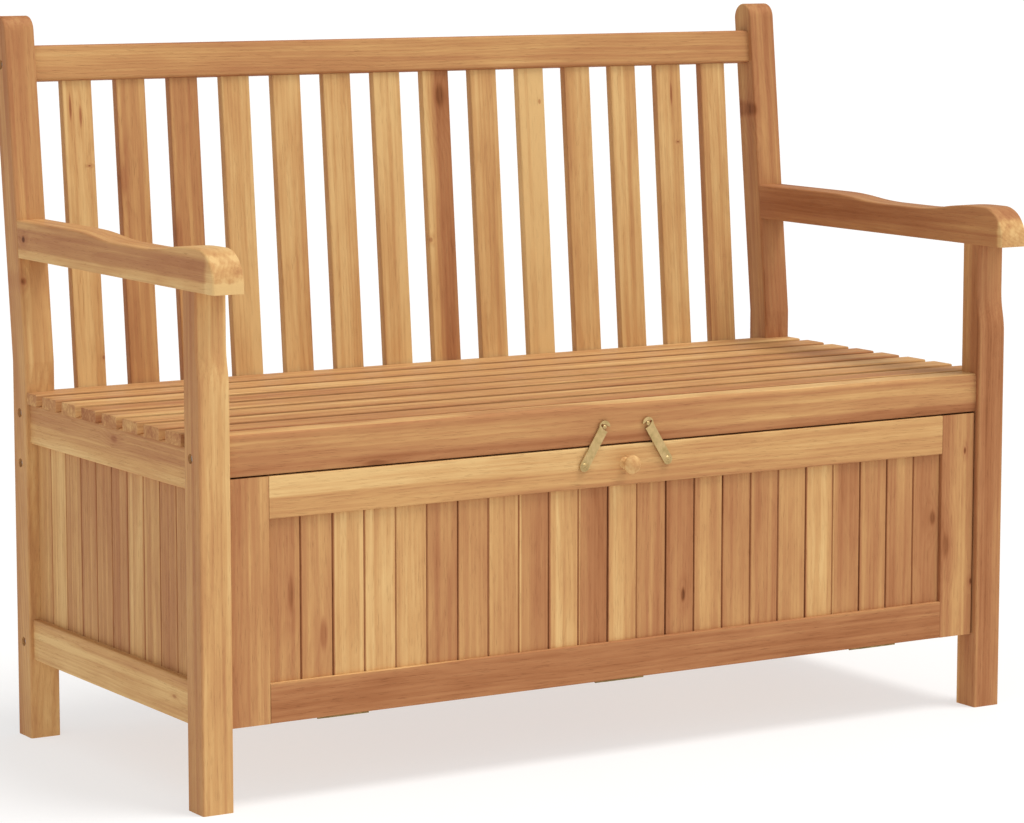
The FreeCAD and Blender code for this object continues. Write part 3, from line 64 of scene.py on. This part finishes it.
class Shader:
    """A Principled material whose node tree is written line by line."""

    def __init__(self, name, roughness, metallic=0.0, gloss=0.5):
        self.material = bpy.data.materials.new(name)
        self.material.use_nodes = True
        self.tree = self.material.node_tree
        self.surface = self.tree.nodes["Principled BSDF"]
        self.surface.inputs["Roughness"].default_value = roughness
        self.surface.inputs["Metallic"].default_value = metallic
        self.surface.inputs["Specular IOR Level"].default_value = gloss
        self.place = self.tree.nodes.new("ShaderNodeTexCoord")

    def put(self, socket, value):
        if isinstance(value, bpy.types.NodeSocket):
            self.tree.links.new(value, socket)
        else:
            socket.default_value = value

    def node(self, kind, values, **settings):
        node = self.tree.nodes.new(kind)
        for key, value in settings.items():
            setattr(node, key, value)
        for key, value in values.items():
            self.put(node.inputs[key], value)
        return node

    def math(self, operation, *values):
        node = self.node("ShaderNodeMath", dict(enumerate(values)), operation=operation)
        return node.outputs[0]

    def add(self, *values):
        total = values[0]
        for value in values[1:]:
            total = self.math("ADD", total, value)
        return total

    def scaled(self, value, factor, offset=0.0):
        return self.math("MULTIPLY_ADD", value, factor, offset)

    def around_zero(self, value, size):
        """A 0..1 noise as a swing of about size on each side of 0."""
        return self.scaled(value, 2 * size, -size)

    def step(self, value, low, high):
        """0 below low and 1 above high, or the other way round if low is above high."""
        values = {"Value": value, "From Min": low, "From Max": high}
        return self.node("ShaderNodeMapRange", values, interpolation_type="SMOOTHSTEP").outputs[0]

    def split(self, vector):
        return list(self.node("ShaderNodeSeparateXYZ", {0: vector}).outputs)

    def join(self, x, y, z):
        return self.node("ShaderNodeCombineXYZ", {0: x, 1: y, 2: z}).outputs[0]

    def noise(self, vector, detail=2.0, roughness=0.5):
        values = {"Vector": vector, "Scale": 1.0, "Detail": detail, "Roughness": roughness}
        return self.node("ShaderNodeTexNoise", values).outputs[0]

    def ramp(self, value, stops, interpolation="LINEAR"):
        node = self.node("ShaderNodeValToRGB", {"Fac": value})
        node.color_ramp.interpolation = interpolation
        elements = node.color_ramp.elements
        elements.remove(elements[1])
        elements[0].position, elements[0].color = stops[0]
        for position, colour in stops[1:]:
            elements.new(position).color = colour
        return node.outputs[0]

    def finish(self, colour, roughness, height, distance):
        self.put(self.surface.inputs["Base Color"], colour)
        self.put(self.surface.inputs["Roughness"], roughness)
        values = {"Height": height, "Distance": distance, "Strength": 1.0}
        bump = self.node("ShaderNodeBump", values)
        self.put(self.surface.inputs["Normal"], bump.outputs[0])
        return self.material

    def worn_edge(self, radius):
        """1 on rounded and sharp outer edges, 0 on flat faces."""
        bevel = self.node("ShaderNodeBevel", {"Radius": radius}, samples=4)
        true = self.node("ShaderNodeNewGeometry", {}).outputs["True Normal"]
        dot = self.node("ShaderNodeVectorMath", {0: bevel.outputs[0], 1: true}, operation="DOT_PRODUCT")
        return self.step(dot.outputs["Value"], 0.985, 0.9)


def grey(value):
    return (value, value, value, 1.0)


def profile(shader, position, points, most, stepped=False):
    """A value from 0 to most along a position in metres, from (position, value) points in order."""
    low, high = points[0][0], points[-1][0]
    share = shader.node("ShaderNodeMapRange", {"Value": position, "From Min": low, "From Max": high})
    stops = [((place - low) / (high - low), grey(value / most)) for place, value in points]
    interpolation = "CONSTANT" if stepped else "EASE"
    return shader.scaled(shader.ramp(share.outputs[0], stops, interpolation), most)


def knot_marks(shader, places, grain, knots, streak):
    """Darker tone and bent grain round knots, each (along, across, radius, stretch, strength)."""
    tone = bend = 0.0
    for along, across, radius, stretch, strength in knots:
        run = shader.scaled(places[grain[0]], 1 / stretch, -along / stretch)
        wide = shader.scaled(places[grain[1]], 1.0, -across)
        square = shader.add(shader.math("MULTIPLY", run, run), shader.math("MULTIPLY", wide, wide))
        away = shader.add(shader.math("SQRT", square), shader.around_zero(streak, radius * 0.6))
        heart = shader.scaled(shader.step(away, radius, radius * 0.3), 0.8 * strength)
        halo = shader.scaled(shader.step(away, radius * 3.0, radius * 0.8), 0.22 * strength)
        tone = shader.add(heart, halo, tone)
        bend = shader.scaled(shader.step(away, radius * 4.0, 0.0), radius * 1.5, bend)
    return tone, bend


def wood(name, along, tone, across=None, boards=None, lean=0.0, knots=(), pale=None, sawn=("X", 0.0),
         streaks=0.34):
    """Oiled acacia. tone is a number, or a list of (position, tone) along the axis across.
    boards is (axis, first joint, pitch) where the piece is made of many boards.
    pale is a list of (position, amount) along Y by which the tone is lighter.
    sawn is (axis, how much darker the faces are that look along it): painted shade on those faces.
    streaks is how far the long, narrow streaks swing the tone."""
    chance = random.Random(name)
    shader = Shader(f"wood_{name}", 0.45, gloss=0.04)
    grain = GRAIN_AXES[along]
    places = shader.split(shader.place.outputs["Object"])
    point = shader.place.outputs["Object"]
    if lean:
        values = {"Vector": point, "Axis": (1, 0, 0), "Angle": lean}
        point = shader.node("ShaderNodeVectorRotate", values, rotation_type="AXIS_ANGLE").outputs[0]
    xyz = shader.split(point)
    run, wide, deep = (xyz[i] for i in grain)
    run = shader.scaled(run, 1.0, chance.uniform(-5, 5))
    low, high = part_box(name)
    middle = [(low[i] + high[i]) / 2 for i in grain]
    pith_wide = chance.choice((-1, 1)) * chance.uniform(0.02, 0.09)
    pith_deep = chance.choice((-1, 1)) * chance.uniform(0.02, 0.07)
    joint = 0.0
    if boards:
        axis, first, pitch = boards
        place = places[AXES.index(axis)]
        index = shader.math("FLOOR", shader.scaled(place, 1 / pitch, -first / pitch))
        luck = shader.node("ShaderNodeTexWhiteNoise", {"W": index}, noise_dimensions="1D")
        shift = shader.split(luck.outputs["Color"])
        local = shader.add(place, shader.scaled(index, -pitch, -first - pitch / 2))
        run = shader.add(run, shader.scaled(shift[2], 9.0))
        wide = shader.add(local, shader.scaled(shift[0], 0.12, -0.06 + middle[1]))
        deep = shader.add(deep, shader.scaled(shift[1], 0.08, -0.04))
        # Dirt and painted shade: a dark line along each V-groove between boards.
        joint = shader.step(shader.math("ABSOLUTE", local), pitch / 2 - 0.0022, pitch / 2 - 0.0004)

    def figure(length, width, detail=2.0, roughness=0.5):
        """Noise drawn out along the grain, with features of about length and width per metre."""
        rates = ((run, length), (wide, width), (deep, width))
        return shader.noise(shader.join(*(shader.scaled(v, rate) for v, rate in rates)), detail, roughness)

    warp = figure(3.5, 16)
    blotch = figure(2.2, 22)
    bands = shader.step(figure(0.9, 62, 1.0), 0.42, 0.58)
    cloud = figure(11, 45, 3.0)
    streak = figure(2.4, 170, 4.0, 0.62)
    fibre = figure(14, 800)
    pores = shader.step(figure(50, 1200, 1.0), 0.62, 0.76)
    knot_tone, knot_bend = knot_marks(shader, places, grain, knots, streak)
    square_wide = shader.math("POWER", shader.scaled(wide, 1.0, pith_wide - middle[1]), 2.0)
    square_deep = shader.math("POWER", shader.scaled(deep, 1.0, pith_deep - middle[2]), 2.0)
    radius = shader.add(
        shader.math("SQRT", shader.add(square_wide, square_deep)), shader.around_zero(warp, 0.012), knot_bend)
    turn = shader.math("FRACT", shader.scaled(radius, 1 / chance.uniform(0.0036, 0.0058)))
    late = shader.math("MULTIPLY", shader.step(turn, 0.2, 0.9), shader.step(turn, 1.0, 0.9))
    base = tone
    if isinstance(tone, list):
        position = places[AXES.index(across)]
        if not boards:
            position = shader.add(
                position, shader.around_zero(warp, 0.003), shader.around_zero(streak, 0.0012))
        base = profile(shader, position, tone, FULL_TONE, bool(boards))
    if pale:
        position = shader.add(places[1], shader.around_zero(warp, 0.012))
        base = shader.math("SUBTRACT", base, profile(shader, position, pale, FULL_TONE))
    facing = shader.split(shader.place.outputs["Normal"])
    end = shader.step(shader.math("ABSOLUTE", facing[grain[0]]), 0.7, 0.95)
    # Painted shade: the faces that look along the given axis are darker, standing in for the shade that falls
    # between slats and on one side.
    side = shader.step(shader.math("ABSOLUTE", facing[AXES.index(sawn[0])]), 0.6, 0.9)
    edge = shader.worn_edge(0.0012)
    total = shader.add(
        base,
        knot_tone,
        shader.around_zero(blotch, BLOTCH_SWING),
        shader.around_zero(cloud, CLOUD_SWING),
        shader.around_zero(bands, BAND_SWING),
        shader.around_zero(streak, streaks),
        shader.around_zero(fibre, FIBRE_SWING),
        shader.scaled(late, 0.08, -0.03),
        shader.scaled(pores, PORE_TONE),
        shader.scaled(joint, JOINT_TONE),
        shader.scaled(end, END_TONE),
        shader.scaled(side, sawn[1]),
        shader.scaled(edge, EDGE_TONE),
    )
    stops = [(position, linear(text)) for position, text in WOOD_COLOURS]
    colour = shader.ramp(shader.scaled(total, 1 / FULL_TONE), stops)
    roughness = shader.add(
        shader.around_zero(blotch, 0.08), shader.scaled(pores, 0.12), shader.scaled(end, 0.15),
        shader.scaled(edge, 0.06), 0.46)
    height = shader.add(shader.scaled(fibre, 0.5), shader.scaled(pores, -0.8), shader.scaled(late, 0.25))
    return shader.finish(colour, roughness, height, BUMP_DEPTH)


def brass(name, tarnish, metallic):
    shader = Shader(name, 0.42, metallic)
    point = shader.place.outputs["Object"]
    x, y, z = shader.split(point)
    patch = shader.noise(shader.join(*(shader.scaled(v, 90) for v in (x, y, z))), 4.0, 0.6)
    grain = shader.noise(
        shader.join(shader.scaled(x, 1800), shader.scaled(y, 1800), shader.scaled(z, 260)), 2.0)
    edge = shader.worn_edge(0.0006)
    dull = shader.add(shader.around_zero(patch, 0.5), shader.around_zero(grain, 0.2),
                      shader.scaled(edge, -0.3), tarnish)
    colour = shader.ramp(dull, [(place, linear(text)) for place, text in BRASS_COLOURS])
    roughness = shader.add(shader.scaled(dull, 0.22), shader.scaled(edge, -0.1), 0.34)
    return shader.finish(colour, roughness, grain, 0.00008)


def steel(name):
    shader = Shader(name, 0.35, 0.25)
    x, y, z = shader.split(shader.place.outputs["Object"])
    patch = shader.noise(shader.join(*(shader.scaled(v, 300) for v in (x, y, z))), 3.0)
    spark = shader.noise(shader.join(*(shader.scaled(v, 1500) for v in (x, y, z))))
    edge = shader.worn_edge(0.0005)
    dull = shader.add(shader.around_zero(patch, 0.35), shader.scaled(edge, -0.25), 0.5)
    colour = shader.ramp(dull, [(place, linear(text)) for place, text in STEEL_COLOURS])
    roughness = shader.add(shader.scaled(dull, 0.25), 0.24)
    return shader.finish(colour, roughness, spark, 0.00005)


def put_on(material, *names):
    for name in names:
        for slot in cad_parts[name].material_slots:
            slot.material = material


def wooden(name, along, tone, **more):
    put_on(wood(name, along, tone, **more), name)


RAKE = math.atan(0.107)
SLAT_LEAN = math.atan(0.0866)

wooden("front_left_post", "z",
       [(-0.6, 0.72), (-0.5985, 0.70), (-0.5955, 0.48), (-0.572, 0.46), (-0.559, 0.34)], across="X")
# Painted shade: the front half of this post is darker, taken from its shaded inner face.
wooden("front_right_post", "z", [(-0.268, 0.92), (-0.248, 0.95), (-0.240, 0.62), (-0.2277, 0.42)], across="Y")
wooden("back_left_post", "z", [(0.228, 0.34), (0.238, 0.48), (0.256, 0.66), (0.30, 0.72)],
       across="Y", lean=RAKE, knots=[(0.594, -0.595, 0.005, 1.3, 0.8)])
wooden("back_right_post", "z", [(0.228, 0.92), (0.232, 0.76), (0.245, 0.70), (0.262, 0.86), (0.30, 0.62)],
       across="Y", lean=RAKE, knots=[(0.780, 0.559, 0.006, 2.5, 0.6)])
wooden("left_arm", "y",
       [(0.624, 0.22), (0.634, 0.26), (0.6385, 0.74), (0.650, 0.98), (0.660, 0.90), (0.668, 0.55),
        (0.675, 0.42)], across="Z", pale=[(-0.308, 0.70), (-0.296, 0.60), (-0.284, 0.0)],
       knots=[(0.222, 0.649, 0.006, 1.2, 0.9)])
# Partly painted shade: the dark tone behind the nose is taken from the arm's shaded inner side, which is also
# redder wood.
wooden("right_arm", "y", [(-0.308, 0.10), (-0.302, 0.16), (-0.297, 0.75), (-0.1, 0.88), (0.252, 0.92)],
       across="Y")
# Painted shade on the top and bottom faces of this rail.
wooden("top_back_rail", "x", [(0.845, 0.66), (0.868, 0.60), (0.892, 0.56)], across="Z", sawn=("Z", 0.30))
SLAT_TONES = (0.22, 0.50, 0.58, 0.14, 0.19, 0.22, 0.18, 0.9, 0.30, 0.0, 0.21, 0.22, 0.20, 0.33)
SLAT_KNOTS = {
    1: [(0.812, -0.509, 0.0022, 9.0, 1.0), (0.800, -0.495, 0.0026, 8.0, 1.0),
        (0.736, -0.486, 0.0028, 0.5, 1.1), (0.488, -0.480, 0.0020, 1.5, 0.8)],
    2: [(0.716, -0.438, 0.006, 4.0, 0.4)],
    3: [(0.640, -0.3625, 0.007, 6.0, 0.5)],
    8: [(0.813, 0.043, 0.012, 2.0, 0.45), (0.617, 0.020, 0.003, 1.5, 0.7)],
    10: [(0.800, 0.204, 0.003, 1.5, 0.8)],
    13: [(0.805, 0.425, 0.0024, 9.0, 0.9), (0.737, 0.433, 0.0028, 0.5, 1.0)],
}
# Painted shade on the side faces of the back slats.
for number, slat_tone in enumerate(SLAT_TONES, 1):
    slat = f"back_slat_{number:02d}"
    across_slat = {}
    if number == 8:
        slat_tone = [(0.0175, 0.2), (0.028, 0.3), (0.031, 0.65), (0.04, 0.86), (0.058, 0.84)]
        across_slat = {"across": "X"}
    wooden(slat, "z", slat_tone, lean=SLAT_LEAN, knots=SLAT_KNOTS.get(number, ()), sawn=("X", 0.28),
           **across_slat)
wooden("seat_front_rail", "x",
       [(0.391, 1.0), (0.410, 0.98), (0.4165, 0.60), (0.440, 0.54), (0.446, 0.66), (0.4515, 0.60),
        (0.452, 0.12)], across="Z", knots=[(-0.358, 0.405, 0.004, 6.0, 0.5)])
SEAT_TONES = (0.57, 0.42, 0.41, 0.55, 0.62, 0.28, 0.49, 0.46)
# Painted shade on the front and back faces of the seat slats, in the gaps between them.
for number, slat_tone in enumerate(SEAT_TONES, 1):
    wooden(f"seat_slat_{number}", "x", slat_tone, sawn=("Y", 0.10), streaks=0.70)
wooden("left_upper_side_rail", "y", [(0.386, 0.33), (0.410, 0.37), (0.4155, 0.66), (0.437, 0.70)], across="Z",
       knots=[(-0.025, 0.423, 0.006, 2.0, 0.5)])
wooden("right_upper_side_rail", "y", 0.6)
wooden("left_lower_side_rail", "y", [(0.103, 0.08), (0.138, 0.14), (0.146, 0.34), (0.156, 0.4)], across="Z",
       knots=[(-0.183, 0.130, 0.003, 2.0, 0.5)])
wooden("right_lower_side_rail", "y", 0.45)
wooden("lower_back_rail", "x", 0.5)
wooden("back_panel_top_rail", "x", 0.42)
wooden("back_panel_bottom_rail", "x", 0.66)
wooden("front_bottom_rail", "x", 0.6)
wooden("seat_bearers", "y", 0.5)

SIDE_PITCH = 0.04464
SIDE_FIRST = -0.2277 + 0.00944
SIDE_TONES = (0.60, 0.69, 0.41, 0.42, 0.72, 0.60, 0.70, 0.52, 0.18, 0.46)
side_joints = [(SIDE_FIRST + SIDE_PITCH * k, t) for k, t in enumerate(SIDE_TONES)]
side_joints.append((SIDE_FIRST + SIDE_PITCH * len(SIDE_TONES), SIDE_TONES[-1]))
for side in ("left", "right"):
    wooden(f"{side}_side_boards", "z", side_joints, across="Y", boards=("Y", SIDE_FIRST, SIDE_PITCH))

PANEL_HALF = 0.504
PANEL_TONES = (0.67, 0.73, 0.27, 0.11, 0.43, 0.73, 0.59, 0.40, 0.78, 0.30, 0.92, 0.44, 0.84, 0.92, 0.63, 0.68,
               0.68, 0.59, 0.30, 0.76, 0.59, 0.60, 0.68)
PANEL_PITCH = 2 * PANEL_HALF / len(PANEL_TONES)
panel_joints = [(PANEL_PITCH * k - PANEL_HALF, t) for k, t in enumerate(PANEL_TONES)]
panel_joints.append((PANEL_HALF, PANEL_TONES[-1]))
wooden("front_panel_boards", "z", panel_joints, across="X", boards=("X", -PANEL_HALF, PANEL_PITCH),
       knots=[(0.255, -0.474, 0.006, 5.0, 0.45), (0.200, -0.429, 0.007, 3.5, 0.6),
              (0.198, 0.093, 0.004, 3.0, 0.7), (0.263, 0.494, 0.007, 2.0, 0.6)])
wooden("front_panel_left_stile", "z", [(-0.5575, 0.82), (-0.5335, 0.82), (-0.5305, 0.50), (-0.504, 0.40)],
       across="X")
wooden("front_panel_right_stile", "z",
       [(0.504, 0.92), (0.515, 0.84), (0.523, 0.64), (0.532, 0.45), (0.541, 0.46), (0.546, 0.76),
        (0.5575, 0.74)], across="X",
       knots=[(0.224, 0.513, 0.008, 3.0, 0.45), (0.350, 0.542, 0.0025, 2.5, 1.0),
              (0.172, 0.555, 0.003, 2.0, 0.7)])
wooden("front_panel_top_rail", "x", [(0.349, 0.52), (0.371, 0.44), (0.377, 0.24), (0.4, 0.18)], across="Z")
wooden("front_panel_bottom_rail", "x",
       [(0.1, 1.04), (0.121, 0.98), (0.127, 0.86), (0.149, 0.82), (0.15, 0.18)], across="Z")
wooden("knob", "y", 0.16)

BACK_HALF = 0.559
BACK_BOARDS = 26
BACK_PITCH = 2 * BACK_HALF / BACK_BOARDS
back_chance = random.Random("back panel")
back_joints = [(BACK_PITCH * k - BACK_HALF, back_chance.uniform(0.2, 0.85)) for k in range(BACK_BOARDS)]
wooden("back_panel_boards", "z", back_joints, across="X", boards=("X", -BACK_HALF, BACK_PITCH))
FLOOR_HALF = 0.56
FLOOR_PITCH = 0.112
floor_joints = [(FLOOR_PITCH * k - FLOOR_HALF, back_chance.uniform(0.25, 0.8)) for k in range(11)]
wooden("floor_boards", "y", floor_joints, across="X", boards=("X", -FLOOR_HALF, FLOOR_PITCH))

put_on(brass("brass_hooks", 0.56, 0.6), "left_hook", "right_hook", "hook_keepers", "hook_screws")
put_on(brass("brass_hinges", 0.95, 1.0), "hinge_frame_leaves", "hinge_door_leaves", "hinge_pins")
put_on(steel("zinc_steel"), "frame_bolts", "barrel_nuts", "frame_screws", "panel_screws")


def studio_floor(radius, steps):
    """A round, level floor."""
    ring = [(radius * math.cos(2 * math.pi * k / steps), radius * math.sin(2 * math.pi * k / steps), 0.0)
            for k in range(steps)]
    mesh = bpy.data.meshes.new("studio_floor")
    mesh.from_pydata(ring, [], [list(range(steps))])
    floor = bpy.data.objects.new("studio_floor", mesh)
    bpy.context.scene.collection.objects.link(floor)
    shader = Shader("floor_paint", 0.8)
    x, y, z = shader.split(shader.place.outputs["Object"])
    mottle = shader.noise(shader.join(shader.scaled(x, 3), shader.scaled(y, 3), z), 3.0)
    colour = shader.ramp(mottle, [(0.0, grey(0.36)), (1.0, grey(0.38))])
    shader.surface.inputs["Emission Color"].default_value = grey(1.0)
    shader.surface.inputs["Emission Strength"].default_value = 0.60
    mesh.materials.append(shader.finish(colour, shader.scaled(mottle, 0.05, 0.8), mottle, 0.0002))


studio_floor(120.0, 96)

# The strength of the studio's soft light from the front and from behind, and of what the camera sees.
STUDIO_LIGHT = 0.82
BEHIND_LIGHT = 0.42
BACKDROP = 0.955
world = bpy.data.worlds.new("studio")
world.use_nodes = True
sky = world.node_tree
background = sky.nodes["Background"]
background.inputs["Color"].default_value = (1.0, 0.995, 0.985, 1.0)
direction = sky.nodes.new("ShaderNodeTexCoord").outputs["Generated"]
parts = sky.nodes.new("ShaderNodeSeparateXYZ")
fade = sky.nodes.new("ShaderNodeMapRange")
fade.interpolation_type = "SMOOTHSTEP"
fade_values = {"From Min": -0.3, "From Max": 0.5, "To Min": STUDIO_LIGHT, "To Max": BEHIND_LIGHT}
for socket, value in fade_values.items():
    fade.inputs[socket].default_value = value
sky.links.new(direction, parts.inputs[0])
sky.links.new(parts.outputs[1], fade.inputs["Value"])
seen = sky.nodes.new("ShaderNodeLightPath").outputs["Is Camera Ray"]
pick = sky.nodes.new("ShaderNodeMix")
pick.inputs[3].default_value = BACKDROP
sky.links.new(seen, pick.inputs[0])
sky.links.new(fade.outputs[0], pick.inputs[2])
sky.links.new(pick.outputs[0], background.inputs["Strength"])
bpy.context.scene.world = world

KEY_DIRECTION = (0.17, -0.15, 0.52)
key = bpy.data.objects.new("key_light", bpy.data.lights.new("key_light", "SUN"))
key.data.energy = 1.85
key.data.angle = math.radians(25)
key.data.color = (1.0, 0.985, 0.96)
key.rotation_euler = Vector(KEY_DIRECTION).to_track_quat("Z", "Y").to_euler()
bpy.context.scene.collection.objects.link(key)

CAMERA_PLACE = (-2.5315, -4.1112, 1.0689)
CAMERA_PITCH = math.radians(90 - 7.759)
CAMERA_TURN = math.radians(-31.554)
camera = bpy.data.objects.new("camera", bpy.data.cameras.new("camera"))
camera.location = CAMERA_PLACE
camera.rotation_euler = (CAMERA_PITCH, 0.0, CAMERA_TURN)
camera.data.sensor_width = 36.0
camera.data.lens = 130.36
camera.data.clip_end = 500.0
bpy.context.scene.collection.objects.link(camera)
bpy.context.scene.camera = camera
bpy.context.scene.view_settings.view_transform = "Standard"
